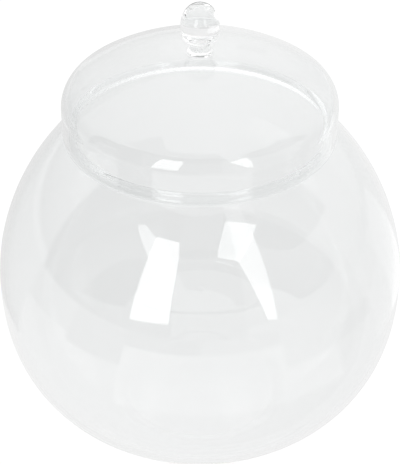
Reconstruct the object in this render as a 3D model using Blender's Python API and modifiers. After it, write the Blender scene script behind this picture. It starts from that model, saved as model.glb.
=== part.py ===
"""Covered glass yarn bowl: a blown globe, and a cap lid whose glass ball knob is fused to its crown.

Metres, +Z up. The origin is the centre of the base, on the surface that the bowl stands on.
Every piece is turned about the Z axis, and the lid lifts straight up along it.
"""

import math

import bpy

# Driving dimensions
GLOBE_RADIUS = 0.100  # outside, at the widest circle
GLASS = 0.0025  # wall of the globe
LID_GLASS = 0.0023  # wall of the lid
FIT_GAP = 0.0003  # kept between pieces that rest on each other or are fused

# Globe: two superelliptic arcs that meet at the widest circle
UPPER_HEIGHT = 1.065 * GLOBE_RADIUS
UPPER_POWER = 1.875
LOWER_HEIGHT = 0.8675 * GLOBE_RADIUS
LOWER_POWER = 2.405
WIDEST = 0.83 * GLOBE_RADIUS  # height of the widest circle above the flat base
BASE_GLASS = 0.0040  # the base is thicker than the wall
PUNT_RADIUS = 0.25 * GLOBE_RADIUS  # the middle of the base is pushed up, which leaves a flat ring to stand on
PUNT_RISE = 0.0012

# Mouth: the wall turns up into a short lip that ends in a fire-polished bead
LIP_FOOT_RADIUS = 0.6205 * GLOBE_RADIUS  # outside, where the wall starts to turn up
LIP_BEND = 0.0020  # radius of that turn
BEAD_RADIUS = 0.0017

# Lid: a straight wall, a round shoulder and a shallow dome
LID_RADIUS = 0.645 * GLOBE_RADIUS  # outside of the wall
WALL_TOP = WIDEST + 0.945 * GLOBE_RADIUS
SHOULDER_RADIUS = 0.120 * GLOBE_RADIUS
CROWN = WIDEST + 1.220 * GLOBE_RADIUS

# Knob: a tall ball with a flattened underside, on a short neck that spreads into a foot
BALL_RADIUS = 0.0886 * GLOBE_RADIUS
BALL_WIDEST = WIDEST + 1.350 * GLOBE_RADIUS
BALL_RISE = 0.104 * GLOBE_RADIUS  # from its widest circle up to its top
BALL_DROP = 0.077 * GLOBE_RADIUS  # from its widest circle down to its underside
BALL_TOP_POWER = 2.0
BALL_UNDERSIDE_POWER = 4.5
NECK_RADIUS = 0.046 * GLOBE_RADIUS
NECK_ROUND = 0.0008  # radius of the hollow round between ball and neck
FOOT_FLARE = 0.0016  # radius of the hollow round between neck and foot
FOOT_EDGE = 0.0004

# Fineness of the turned surfaces
WALL_STEPS = 64
KNOB_STEPS = 32

GLASS_COLOUR = (0.93, 0.95, 0.95, 1.0)
GLASS_ROUGHNESS = 0.02
GLASS_IOR = 1.47


def clear_scene():
    for obj in list(bpy.data.objects):
        bpy.data.objects.remove(obj, do_unlink=True)


def clear_glass(name):
    material = bpy.data.materials.new(name)
    material.use_nodes = True
    shader = material.node_tree.nodes["Principled BSDF"]
    shader.inputs["Base Color"].default_value = GLASS_COLOUR
    shader.inputs["Roughness"].default_value = GLASS_ROUGHNESS
    shader.inputs["Metallic"].default_value = 0.0
    shader.inputs["IOR"].default_value = GLASS_IOR
    shader.inputs["Transmission Weight"].default_value = 1.0
    return material


def spread(first, last, count):
    """count numbers from first to last, evenly spaced, both ends among them."""
    return [first + (last - first) * i / (count - 1) for i in range(count)]


def arc(centre, radius, first, last, count):
    """Points (r, z) of a circle, from angle first to angle last, measured from +r towards +z."""
    return [
        (centre[0] + radius * math.cos(a), centre[1] + radius * math.sin(a))
        for a in spread(first, last, count)
    ]


def superellipse(width, height, power, first, last, count):
    """Points (r, rise) on (r / width) ** power + (rise / height) ** power = 1, from one angle to another."""
    return [
        (width * max(math.cos(a), 0.0) ** (2 / power), height * math.sin(a) ** (2 / power))
        for a in spread(first, last, count)
    ]


def radius_angle(radius, width, power):
    """The parameter angle at which that superellipse has this radius."""
    return math.acos((radius / width) ** (power / 2))


def globe_height(radius):
    """Height of the globe's outside above the base, on its upper half."""
    return WIDEST + UPPER_HEIGHT * (1 - (radius / GLOBE_RADIUS) ** UPPER_POWER) ** (1 / UPPER_POWER)


def globe_slope(radius):
    """The angle by which the upper half of the globe falls away outwards at this radius."""
    step = 1e-5
    fall = globe_height(radius - step) - globe_height(radius + step)
    return math.atan2(fall, 2 * step)


def offset_inwards(points, distance):
    """The line at a distance inside an outline that runs from top to bottom, without its two end points."""
    moved = []
    for before, point, after in zip(points, points[1:], points[2:]):
        dr, dz = after[0] - before[0], after[1] - before[1]
        length = math.hypot(dr, dz)
        moved.append((point[0] + distance * dz / length, point[1] - distance * dr / length))
    return moved


def cut_level(points, height):
    """The points of a falling line that are above a height, and the point where it reaches that height."""
    above = [p for p in points if p[1] > height]
    last, below = above[-1], points[len(above)]
    share = (last[1] - height) / (last[1] - below[1])
    return above + [(last[0] + share * (below[0] - last[0]), height)]


def lip_outline():
    """Outside of the lip, from where it stands upright down to where it meets the globe."""
    slope = globe_slope(LIP_FOOT_RADIUS)
    centre = (
        LIP_FOOT_RADIUS + LIP_BEND * math.sin(slope),
        globe_height(LIP_FOOT_RADIUS) + LIP_BEND * math.cos(slope),
    )
    return arc(centre, LIP_BEND, math.pi, 1.5 * math.pi - slope, 4)


def globe_outline():
    """Outside of the globe, from the top of the lip down to the edge of the flat base."""
    lip_angle = radius_angle(LIP_FOOT_RADIUS, GLOBE_RADIUS, UPPER_POWER)
    base_angle = math.asin((WIDEST / LOWER_HEIGHT) ** (LOWER_POWER / 2))
    upper = superellipse(GLOBE_RADIUS, UPPER_HEIGHT, UPPER_POWER, lip_angle, 0.0, 9)
    lower = superellipse(GLOBE_RADIUS, LOWER_HEIGHT, LOWER_POWER, 0.0, base_angle, 12)
    outline = lip_outline()
    outline += [(radius, WIDEST + rise) for radius, rise in upper[1:]]
    outline += [(radius, WIDEST - drop) for radius, drop in lower[1:]]
    return outline


def bowl_profile():
    outside = globe_outline()
    top = outside[0]
    inside = offset_inwards([(top[0], top[1] + LIP_BEND)] + outside + [(0.0, 0.0)], GLASS)
    inside = cut_level(inside, BASE_GLASS)
    sink = math.sqrt(BEAD_RADIUS**2 - (GLASS / 2) ** 2)  # from the bead's centre down to the top of the wall
    open_angle = math.acos(GLASS / 2 / BEAD_RADIUS)
    bead_centre = (top[0] - GLASS / 2, top[1] + sink)
    bead = arc(bead_centre, BEAD_RADIUS, math.pi + open_angle, -open_angle, 9)
    punt = [
        (radius, PUNT_RISE * (1 - (radius / PUNT_RADIUS) ** 2)) for radius in spread(PUNT_RADIUS, 0.0, 4)
    ]
    return [(0.0, BASE_GLASS)] + inside[:0:-1] + bead + outside[1:] + punt


def rim_centre():
    """Centre of the lid's rounded rim, set so that the rim stands on the globe outside the lip."""
    radius = LID_RADIUS - LID_GLASS / 2
    clearance = LID_GLASS / 2 + FIT_GAP
    return radius, globe_height(radius) + clearance / math.cos(globe_slope(radius))


def lid_profile():
    """Dome, shoulder and wall as arcs tangent to each other, round the rim and back up the inside."""
    shoulder = (LID_RADIUS - SHOULDER_RADIUS, WALL_TOP)
    rise = CROWN - WALL_TOP
    dome_radius = (shoulder[0] ** 2 + rise**2 - SHOULDER_RADIUS**2) / (2 * (rise - SHOULDER_RADIUS))
    dome_centre = (0.0, CROWN - dome_radius)
    meet = math.atan2(shoulder[1] - dome_centre[1], shoulder[0])  # angle of the point where the two arcs meet
    rim = rim_centre()
    outside = arc(dome_centre, dome_radius, math.pi / 2, meet, 8)
    outside += arc(shoulder, SHOULDER_RADIUS, meet, 0.0, 6)[1:]
    inside = arc(shoulder, SHOULDER_RADIUS - LID_GLASS, 0.0, meet, 6)
    inside += arc(dome_centre, dome_radius - LID_GLASS, meet, math.pi / 2, 8)[1:]
    return outside + arc(rim, LID_GLASS / 2, 0.0, -math.pi, 5) + inside


def knob_profile():
    neck_top = NECK_RADIUS + NECK_ROUND
    neck_angle = radius_angle(neck_top, BALL_RADIUS, BALL_UNDERSIDE_POWER)
    upper = superellipse(BALL_RADIUS, BALL_RISE, BALL_TOP_POWER, math.pi / 2, 0.0, 9)
    lower = superellipse(BALL_RADIUS, BALL_DROP, BALL_UNDERSIDE_POWER, 0.0, neck_angle, 8)
    profile = [(radius, BALL_WIDEST + rise) for radius, rise in upper]
    profile += [(radius, BALL_WIDEST - drop) for radius, drop in lower[1:]]
    underside = profile[-1][1]
    profile += arc((neck_top, underside - NECK_ROUND), NECK_ROUND, math.pi / 2, math.pi, 4)[1:]
    foot_radius = NECK_RADIUS + FOOT_FLARE
    bottom = CROWN + FIT_GAP
    flare_centre = (foot_radius, bottom + FOOT_EDGE + FOOT_FLARE)
    profile += arc(flare_centre, FOOT_FLARE, math.pi, 1.5 * math.pi, 4)
    return profile + [(foot_radius, bottom), (0.0, bottom)]


def turned(name, profile, steps, parent):
    """One closed glass piece turned from a profile of (r, z) points, with its origin at its parent's."""
    base = parent.location.z
    points = [(0.0 if r < 1e-9 else r, 0.0, z - base) for r, z in profile]
    mesh = bpy.data.meshes.new(name)
    mesh.from_pydata(points, [(i, i + 1) for i in range(len(points) - 1)], [])
    mesh.materials.append(clear_glass(name + "_glass"))
    obj = bpy.data.objects.new(name, mesh)
    obj.parent = parent
    screw = obj.modifiers.new("turn", "SCREW")
    screw.axis = "Z"
    screw.angle = 2 * math.pi
    screw.steps = steps
    screw.render_steps = steps
    screw.use_merge_vertices = True
    screw.merge_threshold = 1e-5
    screw.use_smooth_shade = True
    return obj


def axis_point(name, height):
    """An empty on the axis, which carries the pieces that move together."""
    empty = bpy.data.objects.new(name, None)
    empty.location = (0.0, 0.0, height)
    empty.empty_display_size = 0.02
    return empty


def main():
    clear_scene()
    collection = bpy.data.collections.new("glass_yarn_bowl")
    bpy.context.scene.collection.children.link(collection)
    bowl = axis_point("bowl", 0.0)
    lid = axis_point("lid", rim_centre()[1] - LID_GLASS / 2)
    pieces = [
        turned("glass_bowl", bowl_profile(), WALL_STEPS, bowl),
        turned("lid_shell", lid_profile(), WALL_STEPS, lid),
        turned("lid_knob", knob_profile(), KNOB_STEPS, lid),
    ]
    for obj in [bowl, lid] + pieces:
        collection.objects.link(obj)


main()
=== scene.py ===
"""Looks of the covered glass yarn bowl: a blown globe and a cap lid with a ball knob, on a white floor.

Metres, +Z up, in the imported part's own frame. Each glass piece is turned about the Z axis from one closed
outline of (radius, height) points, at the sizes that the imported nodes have.
"""

import math

import bpy
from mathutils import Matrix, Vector


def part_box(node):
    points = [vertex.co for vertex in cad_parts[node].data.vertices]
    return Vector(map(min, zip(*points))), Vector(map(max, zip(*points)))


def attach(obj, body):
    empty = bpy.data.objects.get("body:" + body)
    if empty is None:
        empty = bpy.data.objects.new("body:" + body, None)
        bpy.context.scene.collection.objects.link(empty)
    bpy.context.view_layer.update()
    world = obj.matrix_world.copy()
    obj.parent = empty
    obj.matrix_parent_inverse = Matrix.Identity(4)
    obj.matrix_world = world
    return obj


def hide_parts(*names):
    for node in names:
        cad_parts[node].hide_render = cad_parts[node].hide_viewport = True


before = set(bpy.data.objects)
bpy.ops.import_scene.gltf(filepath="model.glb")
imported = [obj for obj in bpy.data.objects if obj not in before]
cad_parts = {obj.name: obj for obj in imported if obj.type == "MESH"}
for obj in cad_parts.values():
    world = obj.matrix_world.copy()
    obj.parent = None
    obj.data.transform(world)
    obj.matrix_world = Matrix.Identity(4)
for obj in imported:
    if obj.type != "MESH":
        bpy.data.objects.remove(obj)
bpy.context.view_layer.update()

BOWL_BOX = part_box("glass_bowl")
SHELL_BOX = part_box("lid_shell")
KNOB_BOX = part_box("lid_knob")

# Globe: two superelliptic arcs that meet at the widest circle
GLOBE_RADIUS = BOWL_BOX[1].x
GLASS = 0.0025  # wall of the globe
WIDEST = 0.83 * GLOBE_RADIUS  # height of the widest circle
UPPER_HEIGHT = 1.065 * GLOBE_RADIUS
UPPER_POWER = 1.875
LOWER_HEIGHT = 0.8675 * GLOBE_RADIUS
LOWER_POWER = 2.405
BASE_GLASS = 0.0040
BASE_EDGE = 0.0120  # radius of the round between the wall and the flat ring that it stands on
BASE_HOLLOW = 0.0250  # radius of the round between the wall and the floor inside
CORNER_POINTS = 9  # on each of those two rounds
PUNT_RADIUS = 0.25 * GLOBE_RADIUS
PUNT_RISE = 0.0012

# Mouth: the wall turns up into a short lip that ends in a fire-polished bead
LIP_FOOT_RADIUS = 0.6205 * GLOBE_RADIUS
LIP_BEND = 0.0020
BEAD_RADIUS = 0.0017

# Lid: a straight wall, a round shoulder and a shallow dome, with a solid ball on a short neck
LID_RADIUS = SHELL_BOX[1].x
LID_GLASS = 0.0023
RIM_BOTTOM = SHELL_BOX[0].z
WALL_TOP = WIDEST + 0.945 * GLOBE_RADIUS
SHOULDER_RADIUS = 0.120 * GLOBE_RADIUS
CROWN = SHELL_BOX[1].z
BALL_RADIUS = KNOB_BOX[1].x
BALL_TOP = KNOB_BOX[1].z
BALL_RISE = 0.104 * GLOBE_RADIUS  # from its widest circle up to its top
BALL_DROP = 0.077 * GLOBE_RADIUS  # from its widest circle down to its underside
BALL_TOP_POWER = 2.0
BALL_UNDERSIDE_POWER = 4.5
NECK_RADIUS = 0.046 * GLOBE_RADIUS
NECK_ROUND = 0.0008  # radius of the hollow round between ball and neck
FOOT_FLARE = 0.0026  # radius of the hollow round between neck and dome

# Fineness of the turned surfaces
TURN_STEPS = 192
ARC_STEP = 0.0012  # along the large curves
SHOULDER_STEP = 0.0005
FINE_STEP = 0.00025  # along the small rounds
DRAFT_STEPS = 400  # points on a superellipse before they are evened out
PUNT_STEPS = 24

# Glass
GLASS_IOR = 1.47
# The first colour of each pair is the glass's own faint tint. The second is darker because of painted
# shade, towards the globe's mouth and towards the lid's wall
GLOBE_TINT_AND_SHADE = ((0.990, 0.995, 0.995, 1.0), (0.950, 0.957, 0.957, 1.0))  # at the base and at the mouth
LID_TINT_AND_SHADE = ((0.965, 0.970, 0.970, 1.0), (0.930, 0.937, 0.937, 1.0))  # at the crown and at the wall
PAINTED_SHADE_FROM = 0.02  # height at which painted shade starts to deepen the globe's tint
TINT_CLOUDS = 14.0  # noise scales, per metre
WIPING_STREAKS = 60.0
ROLLING = 30.0
GLOBE_ROLL = 0.00004  # height of the rolling surface's bumps
LID_ROLL = 0.00003
CLOUD_SHARE = 0.4  # of the depth of tint and painted shade that the clouds add to the height's
STREAK_ROUGHNESS = 0.02

# Camera: it looks down at the globe from in front, aimed a little above its middle
CAMERA_DISTANCE = 7.0 * GLOBE_RADIUS  # from the middle of the widest circle
CAMERA_ELEVATION = math.radians(36.93)
CAMERA_TILT = math.radians(1.38)  # by which the camera's axis passes above that middle
CAMERA_LENS = 107.64

# Light: a white surround that is a little brighter to the right, over a floor that glows by itself
SURROUND = 0.70  # radiance, on average along the horizon
SURROUND_GROWTH = (0.25, 0.20, 0.70)  # towards the right, the back and the top
FLOOR_SIZE = 30.0
FLOOR_WHITE = 0.05
FLOOR_GLOW = 0.85  # as the glass sees it
FLOOR_GLOW_SEEN = 1.00  # as the camera sees it beside the glass, which is cut out on pure white
FLOOR_GAP = 0.0002  # the air that is left between glass and floor
BOUNCES = 512  # light is guided a long way inside the walls before it leaves them
TRANSPARENT_BOUNCES = 16

# Cards: where the parts of the mirrored room meet. Azimuth 0 is in front and 90 to the right, in degrees
CARD_STEP = 5.0  # degrees
CARD_HEIGHT = 0.0008
WALL_DISTANCE = 1.5
FLOOR_REACH = 1.5
LEFT, CORNER, MIDDLE_LEFT, MIDDLE_RIGHT, RIGHT = -94, -36, -14.5, 24, 39
LINTEL, CEILING, CEILING_END = 38, 57, 75  # elevations in degrees
BOWL_SIDE, LIT_REACH = 0.16, 0.56  # the floor in front of the bowl is lit between these distances
WINDOW_DISTANCE = 0.825
WINDOW_RADIANCE = 3.4


# Outlines

def spread(first, last, count):
    """count numbers from first to last, evenly spaced, both ends among them."""
    return [first + (last - first) * i / (count - 1) for i in range(count)]


def arc(centre, radius, first, last, step):
    """Points of a circle, from angle first to angle last, measured from outwards towards up."""
    count = max(4, 1 + math.ceil(abs(last - first) * radius / step))
    return [
        (centre[0] + radius * math.cos(a), centre[1] + radius * math.sin(a))
        for a in spread(first, last, count)
    ]


def superellipse(width, height, power, first, last, count):
    """Points (r, rise) on (r / width) ** power + (rise / height) ** power = 1, between two angles."""
    return [
        (width * max(math.cos(a), 0.0) ** (2 / power), height * max(math.sin(a), 0.0) ** (2 / power))
        for a in spread(first, last, count)
    ]


def evened(points, step):
    """The same line with its points about a step apart along it."""
    lengths = [math.dist(a, b) for a, b in zip(points, points[1:])]
    count = max(2, 1 + math.ceil(sum(lengths) / step))
    share = sum(lengths) / (count - 1)
    result, i, passed = [points[0]], 0, 0.0
    for k in range(1, count - 1):
        while passed + lengths[i] < k * share:
            passed += lengths[i]
            i += 1
        t = (k * share - passed) / lengths[i]
        a, b = points[i], points[i + 1]
        result.append((a[0] + t * (b[0] - a[0]), a[1] + t * (b[1] - a[1])))
    return result + [points[-1]]


def radius_angle(radius, width, power):
    """The parameter angle at which that superellipse has this radius."""
    return math.acos((radius / width) ** (power / 2))


def globe_height(radius):
    """Height of the globe's outside on its upper half."""
    return WIDEST + UPPER_HEIGHT * (1 - (radius / GLOBE_RADIUS) ** UPPER_POWER) ** (1 / UPPER_POWER)


def globe_slope(radius):
    """The angle by which the upper half of the globe falls away outwards at this radius."""
    step = 1e-5
    fall = globe_height(radius - step) - globe_height(radius + step)
    return math.atan2(fall, 2 * step)


def offset_inwards(points, distance):
    """The line at a distance inside an outline that runs from top to bottom, without its two end points."""
    moved = []
    for before, point, after in zip(points, points[1:], points[2:]):
        dr, dz = after[0] - before[0], after[1] - before[1]
        length = math.hypot(dr, dz)
        moved.append((point[0] + distance * dz / length, point[1] - distance * dr / length))
    return moved


def cut_level(points, height):
    """The points of a falling line that are above a height, and the point where it reaches that height."""
    above = [p for p in points if p[1] > height]
    last, below = above[-1], points[len(above)]
    share = (last[1] - height) / (last[1] - below[1])
    return above + [(last[0] + share * (below[0] - last[0]), height)]


def rounded_corner(before, corner, after, radius):
    """A short arc that takes the place of the corner between two straight runs."""
    corner, before, after = Vector(corner), Vector(before), Vector(after)
    to_before, to_after = (before - corner).normalized(), (after - corner).normalized()
    half = to_before.angle(to_after) / 2
    reach = radius / math.tan(half)
    centre = corner + (to_before + to_after).normalized() * (radius / math.sin(half))
    start, end = corner + to_before * reach, corner + to_after * reach
    points = []
    for t in spread(0.0, 1.0, CORNER_POINTS):
        chord = start.lerp(end, t) - centre
        points.append(tuple(centre + chord.normalized() * radius))
    return points


def globe_outline():
    """Outside of the globe as two lines: the lip, and the wall down to the sharp edge of the base."""
    slope = globe_slope(LIP_FOOT_RADIUS)
    lip_centre = (
        LIP_FOOT_RADIUS + LIP_BEND * math.sin(slope),
        globe_height(LIP_FOOT_RADIUS) + LIP_BEND * math.cos(slope),
    )
    lip = arc(lip_centre, LIP_BEND, math.pi, 1.5 * math.pi - slope, FINE_STEP)
    lip_angle = radius_angle(LIP_FOOT_RADIUS, GLOBE_RADIUS, UPPER_POWER)
    base_angle = math.asin((WIDEST / LOWER_HEIGHT) ** (LOWER_POWER / 2))
    upper = superellipse(GLOBE_RADIUS, UPPER_HEIGHT, UPPER_POWER, lip_angle, 0.0, DRAFT_STEPS)
    lower = superellipse(GLOBE_RADIUS, LOWER_HEIGHT, LOWER_POWER, 0.0, base_angle, DRAFT_STEPS)
    wall = [(r, WIDEST + rise) for r, rise in upper] + [(r, WIDEST - drop) for r, drop in lower[1:]]
    return lip, evened(wall, ARC_STEP)


def bowl_profile():
    """From the middle of the inner floor up the wall, round the bead, down outside and under the base."""
    lip, wall = globe_outline()
    outside = lip + wall[1:]
    top = outside[0]
    inside = offset_inwards([(top[0], top[1] + LIP_BEND)] + outside + [(0.0, 0.0)], GLASS)
    inside = cut_level(inside, BASE_GLASS)
    hollow = rounded_corner(inside[-2], inside[-1], (0.0, BASE_GLASS), BASE_HOLLOW)
    inside = [p for p in inside if p[1] > hollow[0][1]] + hollow
    sink = math.sqrt(BEAD_RADIUS**2 - (GLASS / 2) ** 2)
    open_angle = math.acos(GLASS / 2 / BEAD_RADIUS)
    bead_centre = (top[0] - GLASS / 2, top[1] + sink)
    bead = arc(bead_centre, BEAD_RADIUS, math.pi + open_angle, -open_angle, FINE_STEP)
    edge = rounded_corner(wall[-2], wall[-1], (0.0, 0.0), BASE_EDGE)
    wall_end = [p for p in outside if p[1] > edge[0][1]]
    floor_ring = evened([edge[-1], (PUNT_RADIUS, 0.0)], ARC_STEP)[1:]
    punt = [
        (r, PUNT_RISE * (1 - (r / PUNT_RADIUS) ** 2) ** 2) for r in spread(PUNT_RADIUS, 0.0, PUNT_STEPS)
    ]
    inner_floor = evened([(0.0, BASE_GLASS), inside[-1]], ARC_STEP)
    return inner_floor[:-1] + inside[::-1] + bead + wall_end[1:] + edge + floor_ring + punt[1:]


def ball_outline():
    """Outside of the knob, from its top down to the start of the neck."""
    widest = BALL_TOP - BALL_RISE
    neck_angle = radius_angle(NECK_RADIUS + NECK_ROUND, BALL_RADIUS, BALL_UNDERSIDE_POWER)
    upper = superellipse(BALL_RADIUS, BALL_RISE, BALL_TOP_POWER, math.pi / 2, 0.0, 200)
    lower = superellipse(BALL_RADIUS, BALL_DROP, BALL_UNDERSIDE_POWER, 0.0, neck_angle, 200)
    line = [(r, widest + rise) for r, rise in upper] + [(r, widest - drop) for r, drop in lower[1:]]
    return evened(line, FINE_STEP)


def lid_profile():
    """Knob, dome, shoulder and wall, round the rim and back up the inside, as one piece of glass."""
    shoulder = (LID_RADIUS - SHOULDER_RADIUS, WALL_TOP)
    rise = CROWN - WALL_TOP
    dome_radius = (shoulder[0] ** 2 + rise**2 - SHOULDER_RADIUS**2) / (2 * (rise - SHOULDER_RADIUS))
    dome_centre = (0.0, CROWN - dome_radius)
    meet = math.atan2(shoulder[1] - dome_centre[1], shoulder[0])
    ball = ball_outline()
    neck_hollow = (NECK_RADIUS + NECK_ROUND, ball[-1][1] - NECK_ROUND)
    neck_top = arc(neck_hollow, NECK_ROUND, math.pi / 2, math.pi, FINE_STEP)
    foot_radius = NECK_RADIUS + FOOT_FLARE
    reach = math.sqrt((dome_radius + FOOT_FLARE) ** 2 - foot_radius**2)
    foot_centre = (foot_radius, dome_centre[1] + reach)
    foot_angle = math.atan2(reach, foot_radius)
    foot = arc(foot_centre, FOOT_FLARE, math.pi, math.pi + foot_angle, FINE_STEP)
    rim = (LID_RADIUS - LID_GLASS / 2, RIM_BOTTOM + LID_GLASS / 2)
    outside = arc(dome_centre, dome_radius, foot_angle, meet, ARC_STEP)
    outside += arc(shoulder, SHOULDER_RADIUS, meet, 0.0, SHOULDER_STEP)[1:]
    outside += evened([outside[-1], (LID_RADIUS, rim[1])], ARC_STEP)[1:-1]
    inside = arc(shoulder, SHOULDER_RADIUS - LID_GLASS, 0.0, meet, SHOULDER_STEP)
    inside = evened([(LID_RADIUS - LID_GLASS, rim[1]), inside[0]], ARC_STEP)[1:-1] + inside
    inside += arc(dome_centre, dome_radius - LID_GLASS, meet, math.pi / 2, ARC_STEP)[1:]
    rim_round = arc(rim, LID_GLASS / 2, 0.0, -math.pi, FINE_STEP)
    return ball + neck_top[1:] + foot + outside[1:] + rim_round + inside


# Meshes

def turned(name, profile):
    """One closed piece turned about Z. Its profile starts on the axis and ends lower down on it."""
    ring_points = profile[1:-1]
    count = len(ring_points)
    verts = [(0.0, 0.0, profile[0][1])]
    for s in range(TURN_STEPS):
        a = 2 * math.pi * s / TURN_STEPS
        verts += [(r * math.cos(a), r * math.sin(a), z) for r, z in ring_points]
    verts.append((0.0, 0.0, profile[-1][1]))
    last = len(verts) - 1
    faces = []
    for s in range(TURN_STEPS):
        here, there = 1 + s * count, 1 + (s + 1) % TURN_STEPS * count
        faces.append((0, here, there))
        faces += [(here + i, here + i + 1, there + i + 1, there + i) for i in range(count - 1)]
        faces.append((here + count - 1, last, there + count - 1))
    mesh = bpy.data.meshes.new(name)
    mesh.from_pydata(verts, [], faces)
    mesh.polygons.foreach_set("use_smooth", [True] * len(mesh.polygons))
    mesh.update()
    obj = bpy.data.objects.new(name, mesh)
    bpy.context.scene.collection.objects.link(obj)
    return obj


# Materials

def shader_of(material):
    return material.node_tree.nodes["Principled BSDF"]


def noise_node(tree, coordinates, scale, detail, stretch=(1.0, 1.0, 1.0)):
    """Smooth noise at the glass. A stretch below 1 draws it out along that axis."""
    mapping = tree.nodes.new("ShaderNodeMapping")
    mapping.inputs["Scale"].default_value = stretch
    texture = tree.nodes.new("ShaderNodeTexNoise")
    texture.inputs["Scale"].default_value = scale
    texture.inputs["Detail"].default_value = detail
    tree.links.new(coordinates, mapping.inputs["Vector"])
    tree.links.new(mapping.outputs["Vector"], texture.inputs["Vector"])
    return texture.outputs["Fac"]


def ramp_node(tree, value, first, last, low, high):
    """A colour that runs from first to last as the value goes from low to high."""
    ramp = tree.nodes.new("ShaderNodeValToRGB")
    ramp.color_ramp.elements[0].position = low
    ramp.color_ramp.elements[0].color = first
    ramp.color_ramp.elements[1].position = high
    ramp.color_ramp.elements[1].color = last
    tree.links.new(value, ramp.inputs["Fac"])
    return ramp.outputs["Color"]


def height_share(tree, coordinates, heights):
    """Runs from 0 at the first height to 1 at the second."""
    split = tree.nodes.new("ShaderNodeSeparateXYZ")
    share = tree.nodes.new("ShaderNodeMapRange")
    share.inputs["From Min"].default_value = heights[0]
    share.inputs["From Max"].default_value = heights[1]
    tree.links.new(coordinates, split.inputs["Vector"])
    tree.links.new(split.outputs["Z"], share.inputs["Value"])
    return share.outputs["Result"]


def glass_material(name, tint_and_shade, heights, roll):
    """Clear blown glass: a faint tint, darkened by painted shade between two heights, wiping streaks, a
    rolling surface.
    """
    material = bpy.data.materials.new(name)
    material.use_nodes = True
    tree = material.node_tree
    shader = shader_of(material)
    shader.inputs["Metallic"].default_value = 0.0
    shader.inputs["IOR"].default_value = GLASS_IOR
    shader.inputs["Transmission Weight"].default_value = 1.0
    place = tree.nodes.new("ShaderNodeTexCoord").outputs["Object"]
    depth = tree.nodes.new("ShaderNodeMath")
    depth.operation = "MULTIPLY_ADD"
    depth.inputs[1].default_value = CLOUD_SHARE
    tree.links.new(noise_node(tree, place, TINT_CLOUDS, 3.0), depth.inputs[0])
    tree.links.new(height_share(tree, place, heights), depth.inputs[2])
    # Painted shade: the colour runs from the glass's own faint tint to a darker one as the height share
    # grows, with clouds of random tone added
    shaded_tint = ramp_node(tree, depth.outputs["Value"], *tint_and_shade, CLOUD_SHARE / 2, 1.0)
    tree.links.new(shaded_tint, shader.inputs["Base Color"])
    streaks = noise_node(tree, place, WIPING_STREAKS, 4.0, (1.0, 1.0, 0.25))
    hazy = (STREAK_ROUGHNESS, STREAK_ROUGHNESS, STREAK_ROUGHNESS, 1.0)
    haze = ramp_node(tree, streaks, (0.0, 0.0, 0.0, 1.0), hazy, 0.5, 0.8)
    tree.links.new(haze, shader.inputs["Roughness"])
    bump = tree.nodes.new("ShaderNodeBump")
    bump.inputs["Strength"].default_value = 1.0
    bump.inputs["Distance"].default_value = roll
    tree.links.new(noise_node(tree, place, ROLLING, 2.0), bump.inputs["Height"])
    tree.links.new(bump.outputs["Normal"], shader.inputs["Normal"])
    return material


def floor_material():
    """Glowing white, because a floor that takes shadows would darken under the globe."""
    material = bpy.data.materials.new("white_floor")
    material.use_nodes = True
    shader = shader_of(material)
    shader.inputs["Base Color"].default_value = (FLOOR_WHITE, FLOOR_WHITE, FLOOR_WHITE, 1.0)
    shader.inputs["Roughness"].default_value = 1.0
    shader.inputs["Specular IOR Level"].default_value = 0.0
    shader.inputs["Emission Color"].default_value = (1.0, 1.0, 1.0, 1.0)
    path = material.node_tree.nodes.new("ShaderNodeLightPath")
    glow = material.node_tree.nodes.new("ShaderNodeMapRange")
    glow.inputs["To Min"].default_value = FLOOR_GLOW
    glow.inputs["To Max"].default_value = FLOOR_GLOW_SEEN
    material.node_tree.links.new(path.outputs["Is Camera Ray"], glow.inputs["Value"])
    material.node_tree.links.new(glow.outputs["Result"], shader.inputs["Emission Strength"])
    return material


def card_material(name, radiance):
    """Light, or the lack of it, for rays that were mirrored once or twice. Other rays pass through."""
    material = bpy.data.materials.new(name)
    material.use_nodes = True
    tree = material.node_tree
    tree.nodes.clear()
    path = tree.nodes.new("ShaderNodeLightPath")
    mirrored = tree.nodes.new("ShaderNodeMath")
    mirrored.operation = "COMPARE"
    mirrored.inputs[1].default_value = 1.5  # within 0.75 of it are one and two
    mirrored.inputs[2].default_value = 0.75
    clear = tree.nodes.new("ShaderNodeBsdfTransparent")
    glow = tree.nodes.new("ShaderNodeEmission")
    glow.inputs["Strength"].default_value = radiance
    mix = tree.nodes.new("ShaderNodeMixShader")
    out = tree.nodes.new("ShaderNodeOutputMaterial")
    tree.links.new(path.outputs["Glossy Depth"], mirrored.inputs[0])
    tree.links.new(mirrored.outputs["Value"], mix.inputs["Fac"])
    tree.links.new(clear.outputs["BSDF"], mix.inputs[1])
    tree.links.new(glow.outputs["Emission"], mix.inputs[2])
    tree.links.new(mix.outputs["Shader"], out.inputs["Surface"])
    return material


# Studio

def add_flat(name, verts, faces, material):
    """A flat thing that is part of the stage, not of the bowl."""
    mesh = bpy.data.meshes.new(name)
    mesh.from_pydata(verts, [], faces)
    mesh.materials.append(material)
    obj = bpy.data.objects.new(name, mesh)
    bpy.context.scene.collection.objects.link(obj)
    return obj


def add_card(name, verts, faces, radiance):
    """A card that only reflections see."""
    obj = add_flat(name, verts, faces, card_material(name, radiance))
    obj.visible_camera = False
    obj.visible_diffuse = False
    obj.visible_shadow = False


def add_strip(name, first_edge, second_edge, radiance):
    """A card between two lines of points."""
    count = len(first_edge)
    faces = [(i, i + 1, count + i + 1, count + i) for i in range(count - 1)]
    add_card(name, first_edge + second_edge, faces, radiance)


def bearing(azimuth, elevation, distance):
    """The point at a distance from the origin, in a direction that is given in degrees."""
    a, e = math.radians(azimuth), math.radians(elevation)
    return (
        distance * math.cos(e) * math.sin(a),
        -distance * math.cos(e) * math.cos(a),
        distance * math.sin(e),
    )


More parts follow.
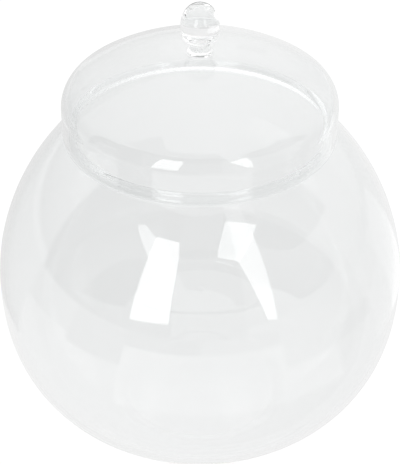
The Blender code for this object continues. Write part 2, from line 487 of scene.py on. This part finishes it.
def add_wall(name, radiance, *stations):
    """A card that stands round the bowl. Each station is (azimuth, lowest elevation, highest elevation)."""
    low, high = [], []
    for (a0, low0, high0), (a1, low1, high1) in zip(stations, stations[1:]):
        steps = max(2, math.ceil((a1 - a0) / CARD_STEP) + 1)
        for t in spread(0.0, 1.0, steps):
            azimuth = a0 + t * (a1 - a0)
            low.append(bearing(azimuth, low0 + t * (low1 - low0), WALL_DISTANCE))
            high.append(bearing(azimuth, high0 + t * (high1 - high0), WALL_DISTANCE))
    add_strip(name, low, high, radiance)


def floor_arc(azimuths, distance):
    """Points just above the floor, from one azimuth to another at a distance from the bowl's axis."""
    steps = math.ceil((azimuths[1] - azimuths[0]) / CARD_STEP) + 1
    points = [bearing(azimuth, 0.0, distance) for azimuth in spread(*azimuths, steps)]
    return [(x, y, CARD_HEIGHT) for x, y, _ in points]


def add_floor_patch(name, radiance, azimuths, distances):
    """A card that lies on the floor between two azimuths and two distances from the bowl's axis."""
    near, far = [floor_arc(azimuths, distance) for distance in distances]
    add_strip(name, near, far, radiance)


def add_window(name, corners):
    """A bright upright card in front. Its corners are (x, z)."""
    verts = [(x, -WINDOW_DISTANCE, z) for x, z in corners]
    add_card(name, verts, [tuple(range(len(corners)))], WINDOW_RADIANCE)


def make_floor():
    half = FLOOR_SIZE / 2
    corners = [(x, y, -FLOOR_GAP) for x, y in ((-half, -half), (half, -half), (half, half), (-half, half))]
    add_flat("floor", corners, [(0, 1, 2, 3)], floor_material())


def make_cards():
    """What the glass mirrors: a dark corner at the left, two windows in front, and how the floor is lit."""
    add_wall("dark_corner", 0.04, (LEFT, 0, 40), (-60, 0, CEILING), (CORNER, 0, CEILING))
    add_wall("front_left", 0.14, (CORNER, 0, CEILING), (MIDDLE_LEFT, 0, CEILING))
    add_wall("front_middle", 0.55, (MIDDLE_LEFT, 0, LINTEL), (MIDDLE_RIGHT, 0, LINTEL))
    add_wall("front_lintel", 0.25, (MIDDLE_LEFT, LINTEL, CEILING), (MIDDLE_RIGHT, LINTEL, CEILING))
    add_wall("front_ceiling", 0.70, (LEFT, CEILING, CEILING_END), (MIDDLE_RIGHT, CEILING, CEILING_END))
    add_wall("right_cornice", 0.65, (RIGHT, LINTEL, CEILING), (60, 28, CEILING), (95, 25, CEILING))
    add_window("window_left", [
        (-0.599, 0.133), (-0.234, 0.159), (-0.198, 0.687), (-0.218, 0.859), (-0.520, 0.960)])
    add_window("window_right", [(0.682, 0.113), (0.680, 1.031), (0.360, 0.687), (0.572, 0.133)])
    add_floor_patch("lit_floor", 1.14, (CORNER, RIGHT), (BOWL_SIDE, LIT_REACH))
    add_floor_patch("lit_floor_right", 1.14, (RIGHT, 65), (BOWL_SIDE, 0.27))
    add_floor_patch("dim_floor_right", 0.75, (RIGHT, 90), (0.27, 0.40))
    add_floor_patch("floor_right", 0.95, (90, 108), (BOWL_SIDE, FLOOR_REACH))
    add_floor_patch("floor_far_right", 1.05, (108, 130), (BOWL_SIDE, FLOOR_REACH))
    add_floor_patch("dim_floor_front", 0.39, (CORNER, 0), (LIT_REACH, FLOOR_REACH))
    add_floor_patch("dim_floor_middle", 0.71, (0, RIGHT), (LIT_REACH, FLOOR_REACH))
    add_floor_patch("dark_floor_corner", 0.45, (-65, CORNER), (0.30, FLOOR_REACH))
    add_floor_patch("dark_floor_left", 0.65, (LEFT, -65), (0.36, FLOOR_REACH))
    add_floor_patch("floor_behind", 0.78, (-180, LEFT), (BOWL_SIDE, FLOOR_REACH))


def make_world():
    """A white surround that grows brighter towards the top and towards the right."""
    world = bpy.data.worlds.new("surround")
    world.use_nodes = True
    tree = world.node_tree
    background = tree.nodes["Background"]
    direction = tree.nodes.new("ShaderNodeTexCoord").outputs["Generated"]
    growth = tree.nodes.new("ShaderNodeVectorMath")
    growth.operation = "DOT_PRODUCT"
    growth.inputs[1].default_value = SURROUND_GROWTH
    level = tree.nodes.new("ShaderNodeMath")
    level.operation = "ADD"
    level.inputs[1].default_value = SURROUND
    tree.links.new(direction, growth.inputs[0])
    tree.links.new(growth.outputs["Value"], level.inputs[0])
    tree.links.new(level.outputs["Value"], background.inputs["Strength"])
    background.inputs["Color"].default_value = (1.0, 1.0, 1.0, 1.0)
    bpy.context.scene.world = world


def make_camera():
    data = bpy.data.cameras.new("camera")
    data.lens = CAMERA_LENS
    data.sensor_width = 36.0
    data.clip_start = 0.01
    camera = bpy.data.objects.new("camera", data)
    away = Vector((0.0, -math.cos(CAMERA_ELEVATION), math.sin(CAMERA_ELEVATION)))
    camera.location = Vector((0.0, 0.0, WIDEST)) + CAMERA_DISTANCE * away
    camera.rotation_euler = (math.pi / 2 - (CAMERA_ELEVATION - CAMERA_TILT), 0.0, 0.0)
    bpy.context.scene.collection.objects.link(camera)
    bpy.context.scene.camera = camera


def set_light():
    """Plain colours, and enough bounces for light to pass every wall on its way in and out."""
    scene = bpy.context.scene
    scene.view_settings.view_transform = "Standard"
    scene.cycles.max_bounces = BOUNCES
    scene.cycles.transmission_bounces = BOUNCES
    scene.cycles.glossy_bounces = BOUNCES
    scene.cycles.transparent_max_bounces = TRANSPARENT_BOUNCES


# Assembly

def make_glass():
    """The globe, and the lid with its knob as one piece, because a gap inside clear glass would show."""
    globe = turned("globe", bowl_profile())
    mouth = BOWL_BOX[1].z
    globe.data.materials.append(glass_material("globe_glass", GLOBE_TINT_AND_SHADE, (PAINTED_SHADE_FROM, mouth), GLOBE_ROLL))
    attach(globe, "bowl")
    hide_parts("glass_bowl")
    lid = turned("lid", lid_profile())
    lid.data.materials.append(
        glass_material("lid_and_knob_glass", LID_TINT_AND_SHADE, (CROWN, WALL_TOP), LID_ROLL))
    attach(lid, "lid")
    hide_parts("lid_shell", "lid_knob")


make_glass()
make_floor()
make_cards()
make_world()
make_camera()
set_light()
